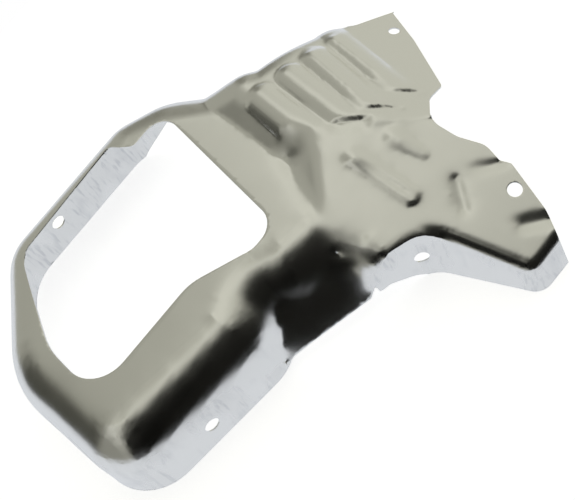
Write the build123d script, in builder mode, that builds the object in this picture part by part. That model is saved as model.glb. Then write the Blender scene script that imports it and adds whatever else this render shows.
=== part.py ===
"""Exhaust heat shield: one pressed sheet with a windowed tray, a ribbed tunnel, a lug and a pointed lobe.

Everything is drawn in millimetres in the tray's own frame: +X along the tray, +Y to its far wall, +Z up, with the
lower edges of the skirts on z = 0.  The punch form is built twice, once at the outside of the sheet and once drawn in
by the sheet thickness, and the sheet is what lies between.
"""
import os
from math import cos, radians, sin, tan

from build123d import *

# sheet
sheet_t = 1.0
below = 6.0

# tray
ring_z = 50.0
tray_left_x = -159.3
tray_bend_r = 30.0
front_corner_r = 34.0
far_corner_r = 32.0

# neck between the tray and the lug
neck_flare = 42.0
neck_top_z = 42.0
neck_foot_z = 8.0

# tunnel
step_h = 0.4
ear_drop = 1.5
plateau_bend_r = 100.0
crest_bend_r = 22.0
far_bend_r = 20.0

# front slope, lug and lobe
flank_bend_r = 16.0
lug_bend_r = 9.0
rim_bend_r = 5.0
lug_sweep_r = 22.0
lobe_flare = 13.0
lobe_tip_y = -141.0
lobe_tip_r = 10.0

# beads and grooves
bead_r = 14.0
bead_rise = 3.0
ear_bead_r = 24.0
ear_bead_rise = 1.6
rib_r = 7.5
rib_rise = 3.0
rib_fade = 1.0
fold_r = 6.0
fold_rise = 4.8

# holes
skirt_hole_d = 9.0
lug_hole_d = 8.0
lobe_hole_d = 8.0
ear_hole_d = 6.5


def leaning(x, y, z, slope, turn):
    """A plane through a point whose normal leans from upright by the slope, towards the given turn from +X."""
    s, a = radians(slope), radians(turn)
    return Plane(origin=(x, y, z), z_dir=(sin(s) * cos(a), sin(s) * sin(a), cos(s)))


riser = leaning(33, 40, ring_z, 28, 176)
plateau = leaning(50, 5, 57.6, 5.9, -4)
ear_top = leaning(135, 17.8, 33, 21.7, -4)
far_wall = leaning(85, 63.9, 0, 90, 78)
far_shoulder = leaning(52.8, 83.8, 0, 90, 45)
step_left = leaning(42, 2, 54, 40, -153.8)
step_front = leaning(66, -19, 56.8, 40, -120.7)
front_slope = leaning(54, -14.5, 57, 18.1, -94.5)
low_plateau = plateau.offset(-step_h)
low_ear = ear_top.offset(-ear_drop)
saddle = leaning(25, -20, ring_z, 30, 157)
flank = leaning(3.2, -57, 16, 78, 190)
lug_wall = leaning(34, -79.5, 0, 90, -105)
lobe_wall = leaning(45, -111, 0, 90 - lobe_flare, 198.4)
lobe_tip = leaning(66, lobe_tip_y, 0, 75, -90)
neck_slope = leaning(-11, -67, 12.5, 90 - neck_flare, -112)
tray_front = leaning(-103.4, -46.5, 16.4, 90, -96.7)
tray_far = leaning(-68.3, 131.5, 19.8, 90, 90.8)


def block(x0, x1, y0, y1, z0, z1):
    with Locations(((x0 + x1) / 2, (y0 + y1) / 2, (z0 + z1) / 2)):
        Box(x1 - x0, y1 - y0, z1 - z0)


def keep_under(inset, *planes):
    """Keeps what lies under every plane once each is drawn in by the inset."""
    for plane in planes:
        split(bisect_by=plane.offset(-inset), keep=Keep.BOTTOM)


def on(plane, inset, edge):
    level = plane.offset(-inset)
    return all(abs(level.to_local_coords(edge @ t).Z) < 0.01 for t in (0.1, 0.5, 0.9))


def between(form, inset, one, other):
    return [e for e in form.edges() if on(one, inset, e) and on(other, inset, e)]


def brow(form, inset, plane, floor):
    """The upper edges of a wall: everything on its plane but the foot and the upright sides."""
    edges = [e for e in form.edges() if on(plane, inset, e)]
    return [e for e in edges if (e @ 0.5).Z > floor + 0.1 and abs((e % 0.5).Z) < 0.9]


def rounded(points):
    """A closed outline from corner points, each with the radius that rounds it."""
    with BuildSketch() as outline:
        with BuildLine():
            Polyline(*[(x, y) for x, y, r in points], close=True)
        make_face()
        for x, y, r in points:
            if r:
                fillet(outline.vertices().sort_by_distance((x, y))[0], r)
    return outline.sketch


tray_outline = rounded([
    (tray_left_x, -40, front_corner_r), (-54, -52.2, 31), (-35, -41, 8), (-19, -51, 31), (30, -58.4, 32),
    (66, 36, 33), (58, 76, 33), (30, 115.5, 40), (-2, 132.5, 33), (-105.4, 131, far_corner_r), (tray_left_x, 63.7, 60),
])


def tray_form(inset, floor):
    with BuildPart() as form:
        with BuildSketch(Plane.XY.offset(floor)):
            add(tray_outline)
            if inset:
                offset(amount=-inset, mode=Mode.REPLACE)
        extrude(amount=ring_z - inset - floor)
        fillet(form.faces().sort_by(Axis.Z)[-1].edges(), tray_bend_r - inset)
    return form.part


def tunnel_form(inset, floor):
    with BuildPart() as form:
        for wall in (far_wall, far_shoulder):
            with BuildPart(mode=Mode.PRIVATE) as side:
                block(10, 200, -90, 110, floor, 90)
                keep_under(inset, riser, plateau, ear_top, wall, step_left, step_front)
                fillet(between(side, inset, plateau, ear_top), plateau_bend_r - inset)
                fillet(between(side, inset, riser, plateau), crest_bend_r - inset)
                fillet(brow(side, inset, wall, floor), far_bend_r - inset)
            add(side.part)
    return form.part


def front_form(inset, floor):
    with BuildPart() as form:
        block(-20, 140, -100, 25, floor, 90)
        keep_under(inset, front_slope, low_plateau, low_ear, saddle, flank, lug_wall)
        with BuildPart(mode=Mode.PRIVATE) as lobe:
            block(0, 140, -170, -60, floor, 90)
            keep_under(inset, front_slope, low_ear, lobe_wall, lobe_tip)
        add(lobe.part)
        fillet(between(form, inset, lug_wall, lobe_wall), lug_sweep_r + inset)
        fillet(between(form, inset, lobe_wall, lobe_tip), lobe_tip_r - inset)
        soft = between(form, inset, flank, front_slope) + between(form, inset, saddle, front_slope)
        fillet(soft, flank_bend_r - inset)
        fillet(between(form, inset, flank, lug_wall), lug_bend_r - inset)
        rim = [e for e in form.edges() if on(front_slope, inset, e) and (e @ 0.5).Y < -70 and (e @ 0.5).X < 130]
        fillet(rim, rim_bend_r - inset)
    return form.part


def neck_form(inset, floor):
    with BuildPart() as form:
        block(-54 + inset, 7, -110, -20, floor + neck_foot_z, neck_top_z - inset)
        keep_under(inset, neck_slope)
    return form.part


def point_on(plane, x, y):
    n = plane.z_dir
    return Vector(x, y, plane.origin.Z - (n.X * (x - plane.origin.X) + n.Y * (y - plane.origin.Y)) / n.Z)


def round_bar(plane, start, end, radius, lift, end_lift):
    """A round-ended bar along a pressed face, its middle raised off the face by the lifts at its two ends."""
    ends = [point_on(plane, x, y) + plane.z_dir * up for (x, y), up in ((start, lift), (end, end_lift))]
    along = ends[1] - ends[0]
    across = along.cross(plane.z_dir)
    down = across.cross(along)
    with BuildPart() as bar:
        with Locations(Plane(origin=ends[0], x_dir=-down, z_dir=along)):
            Cylinder(radius, along.length, align=(Align.CENTER, Align.CENTER, Align.MIN))
        for middle in ends:
            with Locations(Plane(origin=middle, x_dir=-down, z_dir=across)):
                Sphere(radius)
    return bar.part


plateau_beads = [
    (plateau, (54.8, 41), (46.2, -30), bead_r, bead_rise), (plateau, (73.5, 37), (63.5, -40), bead_r, bead_rise),
    (ear_top, (93.5, 36.5), (77.4, -46), ear_bead_r, ear_bead_rise),
    (ear_top, (111.5, 37), (99.5, -22), ear_bead_r, ear_bead_rise),
]
slope_ribs = [((51.6, -30), (52.6, -66), rib_rise), ((73.4, -40), (74.7, -58), rib_fade)]
slope_folds = [((83, -84), (104, -98)), ((74, -79), (63, -92))]


def punch(inset, floor):
    with BuildPart() as form:
        for piece in (tray_form, tunnel_form, front_form, neck_form):
            add(piece(inset, floor))
        for face, start, end, radius, rise in plateau_beads:
            with BuildPart(mode=Mode.PRIVATE) as bead:
                add(round_bar(face, start, end, radius - inset, rise - radius, rise - radius))
                keep_under(inset, step_left, step_front)
            add(bead.part)
        for start, end, end_rise in slope_ribs:
            add(round_bar(front_slope, start, end, rib_r - inset, rib_rise - rib_r, end_rise - rib_r))
        for start, end in slope_folds:
            add(round_bar(front_slope, start, end, fold_r + inset, fold_rise, fold_rise), mode=Mode.SUBTRACT)
    return form.part


window = rounded([
    (-131, 0, 22), (-54, 0, 30), (-19, -17.5, 14), (-1, -17.5, 14), (17.5, 97, 12), (-9, 96.5, 5), (-14, 104, 4),
    (-17.5, 113.5, 5), (-99, 107, 16), (-128, 45, 50),
])
right_edge = rounded([
    (147, 31, 2.5), (135.5, 3, 30), (115.5, -36.5, 3), (104, -38.5, 7), (92, -50.5, 12), (93, -66, 14), (98, -80, 10),
    (95.5, -90, 2), (98, -95, 5), (87.5, -124, 30), (72, -148, 4), (72, -220, 0), (240, -220, 0), (240, 31, 0),
])
far_edge = rounded([(116, 120, 0), (116, 50, 4), (126, 39, 6), (147, 31, 0), (240, 31, 0), (240, 120, 0)])
lug_edge = rounded([(-14, -12, 0), (-12, 0, 3), (-3, 10, 6), (13, 12, 3), (32, 0, 3), (34, -12, 0)])
neck_edge = rounded([
    (-62, -53.4, 0), (-54.8, -53.2, 0), (-47.4, -54.3, 0), (-34, -58.6, 30), (1, -70.6, 0), (7.2, -69.8, 0),
    (7.2, -120, 0), (-62, -120, 0),
])
far_lower_edge = rounded([(-4, -12, 0), (0, 0, 4), (42, 34, 8), (118, 35, 0), (170, 35, 0), (170, -12, 0)])

with BuildPart() as sheet:
    add(punch(0.0, 0.0))
    add(punch(sheet_t, -below), mode=Mode.SUBTRACT)
    for face, bottom, top in ((window, 25, 90), (right_edge, -20, 120), (far_edge, -20, 120), (neck_edge, -20, 16)):
        with BuildSketch(Plane.XY.offset(bottom)):
            add(face)
        extrude(amount=top - bottom, mode=Mode.SUBTRACT)
    with BuildSketch(Plane.XZ.offset(62)):
        add(lug_edge)
    extrude(amount=40, mode=Mode.SUBTRACT)
    with BuildSketch(Plane.XZ.offset(-145)):
        add(far_lower_edge)
    extrude(amount=105, mode=Mode.SUBTRACT)
    with Locations(tray_front, tray_far):
        Cylinder(skirt_hole_d / 2, 12, mode=Mode.SUBTRACT)
    with Locations(lug_wall.shift_origin((34, -79.5, 16))):
        Cylinder(lug_hole_d / 2, 12, mode=Mode.SUBTRACT)
    with Locations(front_slope.shift_origin(point_on(front_slope, 87.1, -105.4))):
        Cylinder(lobe_hole_d / 2, 12, mode=Mode.SUBTRACT)
    with Locations(ear_top):
        Cylinder(ear_hole_d / 2, 12, mode=Mode.SUBTRACT)

extent = sheet.part.bounding_box()
with BuildPart() as heat_shield:
    with Locations((-extent.center().X, -extent.center().Y, -extent.min.Z)):
        add(sheet.part)
heat_shield.part.label = "heat_shield"
os.makedirs("parts", exist_ok=True)
export_step(heat_shield.part, "parts/heat_shield.step")
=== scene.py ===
"""Looks of a pressed exhaust heat shield: the drawn sheet with its soft folds, and the plain stage for it."""
import math

import bmesh
import bpy
from bpy.props import FloatProperty, FloatVectorProperty, IntProperty, PointerProperty
from mathutils import Matrix, Quaternion, Vector
from mathutils.bvhtree import BVHTree


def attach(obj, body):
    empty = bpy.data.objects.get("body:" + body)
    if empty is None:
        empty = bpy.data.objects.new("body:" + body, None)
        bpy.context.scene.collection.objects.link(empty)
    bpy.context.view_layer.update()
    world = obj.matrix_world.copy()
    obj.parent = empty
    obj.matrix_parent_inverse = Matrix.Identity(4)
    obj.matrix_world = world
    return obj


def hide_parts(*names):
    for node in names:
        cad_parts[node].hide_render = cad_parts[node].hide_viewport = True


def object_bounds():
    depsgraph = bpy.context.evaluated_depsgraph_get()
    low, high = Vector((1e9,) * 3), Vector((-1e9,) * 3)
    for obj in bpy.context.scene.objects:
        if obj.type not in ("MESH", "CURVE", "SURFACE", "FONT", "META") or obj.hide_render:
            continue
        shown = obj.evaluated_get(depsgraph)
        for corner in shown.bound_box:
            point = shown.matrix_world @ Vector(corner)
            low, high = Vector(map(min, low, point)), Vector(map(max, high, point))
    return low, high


bl_info = {
    "name": "Exhaust heat shield",
    "version": (1, 0, 0),
    "blender": (4, 5, 0),
    "location": "View3D > Sidebar > Heat shield",
    "description": "Dresses a pressed sheet heat shield and sets the stage it is shown on",
    "category": "Object",
}

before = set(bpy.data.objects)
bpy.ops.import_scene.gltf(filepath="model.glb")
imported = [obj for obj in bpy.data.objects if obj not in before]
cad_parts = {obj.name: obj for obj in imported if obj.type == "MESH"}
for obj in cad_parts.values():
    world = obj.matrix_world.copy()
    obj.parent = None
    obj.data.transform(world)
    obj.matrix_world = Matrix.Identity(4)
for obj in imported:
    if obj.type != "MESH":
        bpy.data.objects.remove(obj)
cad_low, cad_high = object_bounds()
PRESSED_NODE = "heat_shield"
MM = 0.001

# how the outer skin is told from the inner one and from the cut edges
JOIN_REACH = 0.002 * MM
RAY_LIFT = 0.01
OPPOSED = -0.4
TOP_FACING = 0.9
CUT_ANGLE = math.radians(50)
PINHOLE_SIDES = 16

# how the skin is cut on a grid; shares are of the grid's pitch
GRID_REACH = 0.01 * MM
FLAT_ANGLE = math.radians(0.5)
SLIVER_SHARE = 0.05
FINE_SHARE = 0.5

# how the skin is relaxed; a zone's margin is in millimetres, or a share of its sides where that is less
RELAX_STEP = 0.5
ZONE_MARGIN = 12.0
ZONE_SHARE = 0.25

# the front slope's plane
SLOPE_POINT = Vector((59.3, -10.2, 57.0))
SLOPE_TILT = math.radians(18.1)
SLOPE_TURN = math.radians(-94.5)
SLOPE_NORMAL = Vector((
    math.sin(SLOPE_TILT) * math.cos(SLOPE_TURN),
    math.sin(SLOPE_TILT) * math.sin(SLOPE_TURN),
    math.cos(SLOPE_TILT)))

# the stretch of the slope's rim along the lug, the facing of its bend and how far it is sharpened
LUG_RIM_X = (20.0, 53.0)
LUG_RIM_Y = -58.0
LUG_RIM_DROP = 7.0
LUG_RIM_FACING = (0.15, 0.97)
RIM_MARGIN = 8.0
RIM_SHARPENING = 0.8

# where the slope's ribs stand, the most they rise and the share of it that is taken off
RIB_X = (46.0, 92.0)
RIB_Y = (-76.0, -24.0)
RIB_RUN_IN = 18.0
RIB_MOST = 4.0
RIB_LOWERING = 0.5

# each sharpened bead: its crest's far and near ends, the reach of its left and right side, and its rise
BEAD_CRESTS = (
    ((97.7, 47.5), (83.6, -23.0), 8.0, 12.5, 2.2),
    ((114.6, 48.0), (104.0, -22.0), 7.0, 9.5, 2.2),
)
BEAD_RUN_IN = 8.0
BEAD_RUN_OUT = 3.5

# each groove, along the first rib and in the lobe's two pleats: its two ends, its half width and its depth
PLEATS = (
    ((57.4, -30.0), (58.3, -68.0), 2.6, 0.9),
    ((85.5, -76.0), (105.5, -91.5), 3.0, 1.3),
    ((76.5, -112.0), (97.0, -128.0), 5.5, 1.7),
)
PLEAT_RUN_OUT = 5.0

# each short riser at a bead's near end: its two ends, the reach of its near and far side, and its depth
RISERS = (
    ((62.5, -2.0), (81.0, -22.5), 8.0, 2.8, 1.7),
    ((79.0, -12.5), (98.0, -31.0), 8.0, 2.6, 2.1),
    ((97.0, -13.0), (114.0, -31.0), 8.0, 2.8, 1.5),
)
RISER_RUN_OUT = 8.0
RISER_SOFTENING = 2

# where the sheet runs softly from form to form: a low and a high corner, and how many times it is relaxed
SOFT_ZONES = (
    ((-50, -80), (32, -26), 30),
    ((-8, -88), (40, -34), 30),
    ((2, -66), (28, -38), 60),
    ((12, -58), (54, 2), 24),
    ((-155, -66), (-42, 6), 26),
    ((-168, -44), (-118, 44), 24),
    ((34, -28), (78, 22), 70),
    ((52, -48), (122, 2), 40),
    ((40, -84), (96, -24), 3),
    ((56, -104), (94, -58), 16),
)

# the cut edges' rounding
EDGE_SEGMENTS = 2
EDGE_ANGLE = math.radians(55)

# the finish's noises, in cells to the metre, and how far some of them are drawn out down the skirts
WAVES = 26.0
PATCHES = 48.0
CLOUDS = 60.0
DULLING = 90.0
BROAD_MARKS = 130.0
FINE_MARKS = 380.0
SCORES = 420.0
GRAIN = 900.0
MARK_STRETCH = (1.0, 1.0, 0.14)
PATCH_STRETCH = (1.0, 1.0, 0.4)
DULL_STRETCH = (1.0, 1.0, 0.5)

# the stage
UP = (0.0, 0.0, 1.0)
WHITE = (1.0, 1.0, 1.0, 1.0)
SENSOR_WIDTH = 36.0
FLOOR_REACH = 0.32
FLOOR_GLOW = 0.80
FLOOR_MATT = (0.8, 0.8, 0.8, 1.0)
FLOOR_MIRRORED = (0.76, 0.79, 0.85, 1.0)
FLAG_REACH = 0.11
FLAG_PLACE = (-0.184, -0.192, 0.169)
FLAG_FACING = (0.837, 0.261, -0.481)
FLAG_DARK = (0.004, 0.004, 0.004, 1.0)

# the sky's colours; a pair runs from one to the other across its patch
SKY_CEILING = ((0.20, 0.198, 0.165, 1.0), (0.70, 0.70, 0.625, 1.0))
SKY_RIGHT = (0.58, 0.58, 0.51, 1.0)
SKY_LEAN = (0.37, 0.37, 0.32, 1.0)
SKY_CORNER = ((0.06, 0.06, 0.05, 1.0), (0.28, 0.28, 0.24, 1.0))
SKY_SIDE = ((0.60, 0.60, 0.55, 1.0), (0.26, 0.26, 0.23, 1.0))
SKY_ROOM = ((0.008, 0.008, 0.007, 1.0), (0.15, 0.15, 0.13, 1.0))


class SheetSettings(bpy.types.PropertyGroup):
    """What a user would change on the drawn sheet."""

    gauge: FloatProperty(
        name="Gauge", description="Thickness of the sheet", default=1.0 * MM, min=0.2 * MM, unit="LENGTH")
    thickest: FloatProperty(
        name="Thickest", description="Most metal between the two faces at a fold",
        default=2.7 * MM, min=0.2 * MM, unit="LENGTH")
    grain: FloatProperty(
        name="Mesh grain", description="Pitch of the grid the skin is cut on",
        default=3.0 * MM, min=0.5 * MM, unit="LENGTH")
    crispness: IntProperty(
        name="Bead relaxing", description="How many times the beads and steps are relaxed",
        default=3, min=0, max=60)
    softening: IntProperty(
        name="Fold softening", description="How many more times the plain tray is relaxed",
        default=10, min=0, max=60)
    fine_from: FloatProperty(
        name="Fine from", description="Where the beads and steps begin along X",
        default=35 * MM, unit="LENGTH")
    edge_round: FloatProperty(
        name="Edge rounding", description="Rounding of the cut edges",
        default=0.22 * MM, min=0.0, unit="LENGTH")
    metal: FloatVectorProperty(
        name="Metal", description="Colour of the aluminised face",
        default=(0.86, 0.855, 0.82), subtype="COLOR", size=3, min=0.0, max=1.0)
    scoring: FloatVectorProperty(
        name="Scoring", description="Colour of the marks down the skirts",
        default=(0.56, 0.57, 0.58), subtype="COLOR", size=3, min=0.0, max=1.0)
    satin: FloatProperty(
        name="Satin", description="Roughness of the rolled face",
        default=0.24, min=0.0, max=1.0, subtype="FACTOR")
    drawing: FloatProperty(
        name="Draw marks", description="Depth of the marks down the skirts",
        default=0.12 * MM, min=0.0, unit="LENGTH")
    waviness: FloatProperty(
        name="Waviness", description="Depth of the sheet's slow waves",
        default=0.25 * MM, min=0.0, unit="LENGTH")
    tooth: FloatProperty(
        name="Tooth", description="Depth of the rolled face's grain",
        default=0.004 * MM, min=0.0, unit="LENGTH")


class StageSettings(bpy.types.PropertyGroup):
    """Where the camera stands. The studio's light turns with the camera's bearing."""

    azimuth: FloatProperty(
        name="Azimuth", description="Camera's bearing from +X", default=math.radians(-105), subtype="ANGLE")
    elevation: FloatProperty(
        name="Elevation", description="Camera's height angle", default=math.radians(54), subtype="ANGLE")
    roll: FloatProperty(
        name="Roll", description="Turn of the camera about its own axis",
        default=math.radians(-38), subtype="ANGLE")
    distance: FloatProperty(
        name="Distance", description="From the camera to the point it looks at",
        default=0.700, unit="LENGTH")
    lens: FloatProperty(name="Lens", description="Focal length in millimetres", default=76.7)
    aim: FloatVectorProperty(
        name="Aim", description="Point at the middle of the picture", default=(0.005312, 0.00431, 0.0),
        subtype="TRANSLATION", unit="LENGTH")


class Wire:
    """A shader socket that takes part in arithmetic; each operation adds a Math node."""

    def __init__(self, graph, socket):
        self.graph = graph
        self.socket = socket

    def _math(self, operation, one, other):
        return self.graph.node("ShaderNodeMath", {"operation": operation}, {0: one, 1: other})

    def __add__(self, other):
        return self._math("ADD", self, other)

    def __radd__(self, other):
        return self._math("ADD", other, self)

    def __sub__(self, other):
        return self._math("SUBTRACT", self, other)

    def __rsub__(self, other):
        return self._math("SUBTRACT", other, self)

    def __mul__(self, other):
        return self._math("MULTIPLY", self, other)

    def __rmul__(self, other):
        return self._math("MULTIPLY", other, self)


class Graph:
    """A node tree that is written as expressions."""

    def __init__(self, tree):
        self.tree = tree
        tree.nodes.clear()

    def node(self, kind, settings=None, inputs=None, output=0):
        """Adds a node, sets it up, then fills or links its sockets, and gives back one output."""
        made = self.tree.nodes.new(kind)
        for name, value in (settings or {}).items():
            setattr(made, name, value)
        for name, value in (inputs or {}).items():
            if isinstance(value, Wire):
                self.tree.links.new(value.socket, made.inputs[name])
            else:
                made.inputs[name].default_value = value
        return Wire(self, made.outputs[output]) if made.outputs else None

    def ease(self, value, low, high):
        """0 below low, 1 above high and smooth between; low may be the larger."""
        return self.node(
            "ShaderNodeMapRange", {"interpolation_type": "SMOOTHSTEP", "clamp": True},
            {"Value": value, "From Min": low, "From Max": high, "To Min": 0.0, "To Max": 1.0})

    def blend(self, factor, one, other):
        """Mixes two colours."""
        return self.node("ShaderNodeMix", {"data_type": "RGBA"}, {0: factor, 6: one, 7: other}, output=2)

    def noise(self, vector, scale, detail):
        """Cloudy noise from 0 to 1."""
        return self.node("ShaderNodeTexNoise", {}, {"Vector": vector, "Scale": scale, "Detail": detail})

    def stretched(self, vector, amounts):
        """A vector scaled along each axis."""
        return self.node("ShaderNodeVectorMath", {"operation": "MULTIPLY"}, {0: vector, 1: amounts})

    def along(self, vector, direction):
        """How far a vector goes along a direction."""
        return self.node(
            "ShaderNodeVectorMath", {"operation": "DOT_PRODUCT"}, {0: vector, 1: direction}, output="Value")

    def ray(self, kind):
        """1 for one kind of ray and 0 for the others."""
        return self.node("ShaderNodeLightPath", output=kind)


def new_object(name, bm):
    """A mesh object from a bmesh, linked to the scene and standing at the origin."""
    mesh = bpy.data.meshes.new(name)
    bm.to_mesh(mesh)
    bm.free()
    obj = bpy.data.objects.new(name, mesh)
    bpy.context.scene.collection.objects.link(obj)
    return obj


def new_graph(owner):
    """The emptied node tree of a material or a world."""
    owner.use_nodes = True
    return Graph(owner.node_tree)


def outer_skin(bm, gauge, thickest):
    """Leaves only the sheet's upper face: the faces reached from its top without crossing a cut edge."""
    tree = BVHTree.FromBMesh(bm)
    step = RAY_LIFT * gauge

    def is_wall(face):
        start = face.calc_center_median() - face.normal * step
        normal = tree.ray_cast(start, -face.normal, thickest)[1]
        return normal is not None and normal.dot(face.normal) < OPPOSED

    def is_cut(edge):
        return edge.is_convex and edge.calc_face_angle(0.0) > CUT_ANGLE

    wall = {face for face in bm.faces if is_wall(face)}
    top = max((f for f in wall if f.normal.z > TOP_FACING), key=lambda f: f.calc_center_median().z)
    skin = {top}
    front = [top]
    while front:
        face = front.pop()
        for edge in face.edges:
            if is_cut(edge):
                continue
            for other in edge.link_faces:
                if other in wall and other not in skin:
                    skin.add(other)
                    front.append(other)
    bmesh.ops.delete(bm, geom=[f for f in bm.faces if f not in skin], context="FACES")
    bmesh.ops.holes_fill(bm, edges=[e for e in bm.edges if e.is_boundary], sides=PINHOLE_SIDES)


def regrid(bm, pitch):
    """Cuts the skin on an even grid and joins the flat facets in each cell, so that it relaxes evenly."""
    for edge in bm.edges:
        edge.seam = False
    for axis in range(3):
        normal = Vector((0.0, 0.0, 0.0))
        normal[axis] = 1.0
        count = int((cad_high[axis] - cad_low[axis]) / pitch)
        for line in range(1, count):
            cut = bmesh.ops.bisect_plane(
                bm, geom=bm.verts[:] + bm.edges[:] + bm.faces[:], dist=GRID_REACH,
                plane_co=cad_low + normal * (pitch * line), plane_no=normal)
            for made in cut["geom_cut"]:
                if isinstance(made, bmesh.types.BMEdge):
                    made.seam = True
    bmesh.ops.dissolve_limit(
        bm, angle_limit=FLAT_ANGLE, verts=bm.verts[:], edges=bm.edges[:], use_dissolve_boundaries=False,
        delimit={"SEAM"})
    bmesh.ops.remove_doubles(bm, verts=inner_verts(bm), dist=SLIVER_SHARE * pitch)
    bmesh.ops.triangulate(bm, faces=bm.faces[:], quad_method="BEAUTY", ngon_method="BEAUTY")


def refine(bm, settings):
    """Halves the grid where the beads, the steps and the folds are."""
    shortest = FINE_SHARE * settings.grain
    fine = [
        e for e in bm.edges
        if e.calc_length() > shortest and all(v.co.x > settings.fine_from for v in e.verts)]
    bmesh.ops.subdivide_edges(bm, edges=fine, cuts=1, use_grid_fill=True)
    bmesh.ops.triangulate(bm, faces=bm.faces[:], quad_method="BEAUTY", ngon_method="BEAUTY")


def inner_verts(bm):
    """The skin's vertices apart from those on its cut edges."""
    return [v for v in bm.verts if not v.is_boundary]


def fade(value):
    """0 below 0, 1 above 1 and smooth between."""
    held = min(max(value, 0.0), 1.0)
    return held * held * (3.0 - 2.0 * held)


def press_line(bm, start, end, left, right, rise, run_in, run_out):
    """Raises a ridge along a line, or presses a groove if the rise is negative, fading at both ends."""
    first = Vector(start) * MM
    along = Vector(end) * MM - first
    length = along.length
    along.normalize()
    across = Vector((-along.y, along.x))
    for vert in bm.verts:
        way = vert.co.xy - first
        side = way.dot(across) / MM
        height = 1.0 - (side / right if side > 0 else -side / left)
        if height > 0:
            gone = way.dot(along)
            ends = fade(gone / (run_in * MM)) * fade((length - gone) / (run_out * MM))
            vert.co.z += rise * MM * height * ends


def above_slope(place):
    """How far a point in millimetres stands above the front slope's plane."""
    return (place - SLOPE_POINT).dot(SLOPE_NORMAL) / SLOPE_NORMAL.z


def lower_ribs(bm):
    """Takes the two ribs on the front slope down to a softer height."""
    for vert in bm.verts:
        place = vert.co / MM
        rise = above_slope(place)
        on_slope = RIB_X[0] < place.x < RIB_X[1] and RIB_Y[0] < place.y < RIB_Y[1]
        if on_slope and 0.0 < rise < RIB_MOST:
            vert.co.z -= RIB_LOWERING * fade((RIB_Y[1] - place.y) / RIB_RUN_IN) * rise * MM


def sharpen_lug(bm):
    """Carries the front slope out to the lug's wall, so that the lug turns down on a tight bend."""
    bm.normal_update()
    for vert in bm.verts:
        place = vert.co / MM
        on_bend = LUG_RIM_FACING[0] < vert.normal.z < LUG_RIM_FACING[1]
        if vert.is_boundary or place.y > LUG_RIM_Y or not on_bend:
            continue
        drop = -above_slope(place)
        if 0.0 < drop < LUG_RIM_DROP:
            reach = fade((place.x - LUG_RIM_X[0]) / RIM_MARGIN) * fade((LUG_RIM_X[1] - place.x) / RIM_MARGIN)
            vert.co.z += RIM_SHARPENING * reach * drop * MM


def soften(verts, bm, times):
    """Moves each vertex half way to the middle of its neighbours, a number of times."""
    for _ in range(times):
        bmesh.ops.smooth_vert(
            bm, verts=verts, factor=RELAX_STEP, use_axis_x=True, use_axis_y=True, use_axis_z=True)


def relax(bm, settings):
    """Softens the whole skin a little, then the plain tray, then the zones where forms run together."""
    inner = inner_verts(bm)
    plain = [v for v in inner if v.co.x < settings.fine_from]
    jobs = [(inner, settings.crispness), (plain, settings.softening)]
    for low, high, times in SOFT_ZONES:

        def depth(vert):
            return min(min(vert.co[i] / MM - low[i], high[i] - vert.co[i] / MM) for i in range(2))

        margin = min(ZONE_MARGIN, *(ZONE_SHARE * (high[i] - low[i]) for i in range(2)))
        depths = [(v, depth(v)) for v in inner]
        for turn in range(times):
            jobs.append(([v for v, deep in depths if deep > margin * turn / times], 1))
    for verts, times in jobs:
        soften(verts, bm, times)


def hold_in_box(bm):
    """Keeps every vertex inside the box of the solid."""
    for vert in bm.verts:
        for axis in range(3):
            vert.co[axis] = min(max(vert.co[axis], cad_low[axis]), cad_high[axis])


def break_edges(obj, width):
    """Rounds the cut edges."""
    broken = obj.modifiers.new("broken_edges", "BEVEL")
    broken.width = width
    broken.segments = EDGE_SEGMENTS
    broken.limit_method = "ANGLE"
    broken.angle_limit = EDGE_ANGLE
    broken.harden_normals = True


def satin_sheet(settings):
    """Aluminised sheet: a satin rolled face, a little wavy, with draw marks down the skirts."""
    made = bpy.data.materials.new("aluminised_sheet")
    graph = new_graph(made)
    place = graph.node("ShaderNodeTexCoord", output="Object")
    facing = graph.along(graph.node("ShaderNodeNewGeometry", output="Normal"), UP)
    wall = graph.ease(facing, 0.5, 0.1)
    upright = graph.stretched(place, MARK_STRETCH)
    patch = graph.ease(graph.noise(graph.stretched(place, PATCH_STRETCH), PATCHES, 2.0), 0.44, 0.62)
    marks = graph.noise(upright, FINE_MARKS, 4.0) + 0.6 * graph.noise(upright, BROAD_MARKS, 2.0)
    waves = graph.noise(place, WAVES, 1.0)
    grain = graph.noise(place, GRAIN, 2.0)
    drawn = wall * (0.3 + patch) * marks * settings.drawing
    relief = drawn + waves * settings.waviness + grain * settings.tooth
    bump = graph.node("ShaderNodeBump", {}, {"Strength": 1.0, "Distance": 1.0, "Height": relief})
    cloud = graph.noise(place, CLOUDS, 3.0)
    roughness = settings.satin + 0.08 * (cloud - 0.5) + 0.10 * wall * patch
    scored = wall * patch * graph.ease(graph.noise(upright, SCORES, 3.0), 0.5, 0.66)
    dulled = wall * graph.ease(graph.noise(graph.stretched(place, DULL_STRETCH), DULLING, 4.0), 0.5, 0.75)
    colour = graph.blend(0.5 * scored + 0.3 * dulled, (*settings.metal, 1.0), (*settings.scoring, 1.0))
    shader = graph.node("ShaderNodeBsdfPrincipled", {}, {
        "Base Color": colour, "Metallic": 1.0, "Roughness": roughness, "Normal": bump})
    graph.node("ShaderNodeOutputMaterial", {}, {"Surface": shader})
    return made


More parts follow.
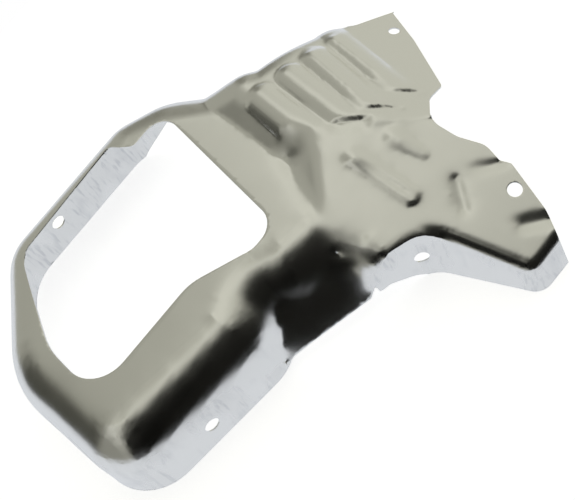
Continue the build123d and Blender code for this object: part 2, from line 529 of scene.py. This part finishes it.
class HEATSHIELD_OT_press_sheet(bpy.types.Operator):
    """Draws the sheet: the outer skin with softened folds, its thickness and its satin finish"""

    bl_idname = "heat_shield.press_sheet"
    bl_label = "Press sheet"

    def execute(self, context):
        settings = context.scene.heat_shield_sheet
        bm = bmesh.new()
        bm.from_mesh(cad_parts[PRESSED_NODE].data)
        bmesh.ops.remove_doubles(bm, verts=bm.verts[:], dist=JOIN_REACH)
        outer_skin(bm, settings.gauge, settings.thickest)
        regrid(bm, settings.grain)
        refine(bm, settings)
        lower_ribs(bm)
        for start, end, left, right, rise in BEAD_CRESTS:
            press_line(bm, start, end, left, right, rise, BEAD_RUN_IN, BEAD_RUN_OUT)
        for start, end, reach, depth in PLEATS:
            press_line(bm, start, end, reach, reach, -depth, PLEAT_RUN_OUT, PLEAT_RUN_OUT)
        relax(bm, settings)
        for start, end, near, far, depth in RISERS:
            press_line(bm, start, end, near, far, -depth, RISER_RUN_OUT, RISER_RUN_OUT)
        sharpen_lug(bm)
        soften(inner_verts(bm), bm, RISER_SOFTENING)
        bmesh.ops.solidify(bm, geom=bm.verts[:] + bm.edges[:] + bm.faces[:], thickness=settings.gauge)
        hold_in_box(bm)
        for face in bm.faces:
            face.smooth = True
        sheet = new_object("pressed_sheet", bm)
        break_edges(sheet, settings.edge_round)
        sheet.data.materials.append(satin_sheet(settings))
        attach(sheet, "root")
        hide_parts(PRESSED_NODE)
        return {"FINISHED"}


def lay_floor():
    """A pale floor that keeps the shield's shadow and is mirrored as an even light tone."""
    bm = bmesh.new()
    bmesh.ops.create_grid(bm, x_segments=1, y_segments=1, size=FLOOR_REACH)
    floor = new_object("floor", bm)
    made = bpy.data.materials.new("pale_floor")
    graph = new_graph(made)
    matt = graph.node("ShaderNodeBsdfDiffuse", {}, {"Color": FLOOR_MATT})
    glow = graph.node("ShaderNodeEmission", {}, {"Color": WHITE, "Strength": FLOOR_GLOW})
    bare = graph.node("ShaderNodeAddShader", {}, {0: matt, 1: glow})
    mirrored = graph.node("ShaderNodeEmission", {}, {"Color": FLOOR_MIRRORED, "Strength": 1.0})
    bounced = graph.ray("Is Glossy Ray") + graph.ray("Is Transmission Ray")
    shade = graph.node("ShaderNodeMixShader", {}, {0: graph.ray("Is Camera Ray"), 1: matt, 2: bare})
    shade = graph.node("ShaderNodeMixShader", {}, {0: bounced, 1: shade, 2: mirrored})
    graph.node("ShaderNodeOutputMaterial", {}, {"Surface": shade})
    floor.data.materials.append(made)


def hang_flag():
    """A dark card off to the front left, outside the picture, which the lobe's rolled rim mirrors."""
    bm = bmesh.new()
    bmesh.ops.create_grid(bm, x_segments=1, y_segments=1, size=FLAG_REACH)
    facing = Vector(FLAG_FACING).to_track_quat("Z", "Y").to_matrix().to_4x4()
    bmesh.ops.transform(bm, matrix=Matrix.Translation(FLAG_PLACE) @ facing, verts=bm.verts[:])
    flag = new_object("flag", bm)
    made = bpy.data.materials.new("dark_card")
    graph = new_graph(made)
    shade = graph.node("ShaderNodeBsdfDiffuse", {}, {"Color": FLAG_DARK})
    graph.node("ShaderNodeOutputMaterial", {}, {"Surface": shade})
    flag.data.materials.append(made)
    flag.visible_camera = False
    flag.visible_diffuse = False
    flag.visible_shadow = False


def light_studio(scene, settings):
    """A soft studio: a warm ceiling, a light wall to the right, greyer ones to the left, a dark near room."""
    world = bpy.data.worlds.new("studio")
    scene.world = world
    graph = new_graph(world)
    way = graph.node("ShaderNodeTexCoord", output="Generated")
    to_camera = Vector((math.cos(settings.azimuth), math.sin(settings.azimuth), 0.0))
    to_left = Vector((to_camera.y, -to_camera.x, 0.0))
    near = graph.along(way, to_camera)
    left = graph.along(way, to_left)
    height = graph.along(way, UP)

    colour = graph.blend(graph.ease(height, 0.38, 0.74), *SKY_CEILING)
    colour = graph.blend(graph.ease(left, -0.1, -0.5), colour, SKY_RIGHT)
    far = graph.ease(near, 0.08, -0.18)
    colour = graph.blend(graph.ease(left, -0.1, 0.12) * far, colour, SKY_LEAN)
    corner = graph.ease(left, 0.34, 0.72) * far
    corner = corner * graph.ease(near, -0.74, -0.56) * graph.ease(height, 0.97, 0.8)
    colour = graph.blend(corner, colour, graph.blend(graph.ease(height, 0.4, 0.7), *SKY_CORNER))
    side = graph.ease(left, 0.4, 0.65) * graph.ease(near, -0.22, 0.05)
    colour = graph.blend(side, colour, graph.blend(graph.ease(left, 0.68, 0.84), *SKY_SIDE))
    room = graph.ease(near, 0.0, 0.4) * graph.ease(left - 0.5 * near, 0.5, 0.3)
    depth = graph.ease(left - 0.8 * near, -0.05, 0.25)
    colour = graph.blend(room, colour, graph.blend(depth, *SKY_ROOM))
    colour = graph.blend(graph.ray("Is Camera Ray"), colour, WHITE)

    light = graph.node("ShaderNodeBackground", {}, {"Color": colour, "Strength": 1.0})
    graph.node("ShaderNodeOutputWorld", {}, {"Surface": light})


def stand_camera(scene, settings):
    """The camera at its bearing, height angle and distance from the aim, turned about its own axis."""
    flat = math.cos(settings.elevation)
    back = Vector((
        flat * math.cos(settings.azimuth), flat * math.sin(settings.azimuth), math.sin(settings.elevation)))
    lens = bpy.data.cameras.new("camera")
    lens.lens = settings.lens
    lens.sensor_width = SENSOR_WIDTH
    lens.sensor_fit = "HORIZONTAL"
    camera = bpy.data.objects.new("camera", lens)
    scene.collection.objects.link(camera)
    camera.rotation_mode = "QUATERNION"
    camera.rotation_quaternion = back.to_track_quat("Z", "Y") @ Quaternion(UP, settings.roll)
    camera.location = Vector(settings.aim) + back * settings.distance
    scene.camera = camera


class HEATSHIELD_OT_set_stage(bpy.types.Operator):
    """Lays the pale floor, lights the studio and stands the camera"""

    bl_idname = "heat_shield.set_stage"
    bl_label = "Set stage"

    def execute(self, context):
        settings = context.scene.heat_shield_stage
        scene = context.scene
        scene.view_settings.view_transform = "Standard"
        lay_floor()
        hang_flag()
        light_studio(scene, settings)
        stand_camera(scene, settings)
        return {"FINISHED"}


class HEATSHIELD_PT_panel(bpy.types.Panel):
    """Lists the shield's pieces and its stage in the sidebar"""

    bl_idname = "HEATSHIELD_PT_panel"
    bl_label = "Heat shield"
    bl_space_type = "VIEW_3D"
    bl_region_type = "UI"
    bl_category = "Heat shield"

    def draw(self, context):
        layout = self.layout
        for group, operator in (
                (context.scene.heat_shield_sheet, HEATSHIELD_OT_press_sheet),
                (context.scene.heat_shield_stage, HEATSHIELD_OT_set_stage)):
            box = layout.box()
            for name in group.bl_rna.properties.keys():
                if name not in ("rna_type", "name"):
                    box.prop(group, name)
            box.operator(operator.bl_idname)


CLASSES = (
    SheetSettings, StageSettings, HEATSHIELD_OT_press_sheet, HEATSHIELD_OT_set_stage, HEATSHIELD_PT_panel)


def register():
    """Adds the settings, the operators and the panel."""
    for made in CLASSES:
        bpy.utils.register_class(made)
    bpy.types.Scene.heat_shield_sheet = PointerProperty(type=SheetSettings)
    bpy.types.Scene.heat_shield_stage = PointerProperty(type=StageSettings)


def unregister():
    """Takes the panel, the operators and the settings away again."""
    del bpy.types.Scene.heat_shield_stage
    del bpy.types.Scene.heat_shield_sheet
    for made in reversed(CLASSES):
        bpy.utils.unregister_class(made)


def main():
    """Presses the sheet and sets the stage."""
    register()
    bpy.ops.heat_shield.press_sheet()
    bpy.ops.heat_shield.set_stage()
    bpy.context.view_layer.update()


if __name__ == "__main__":
    main()
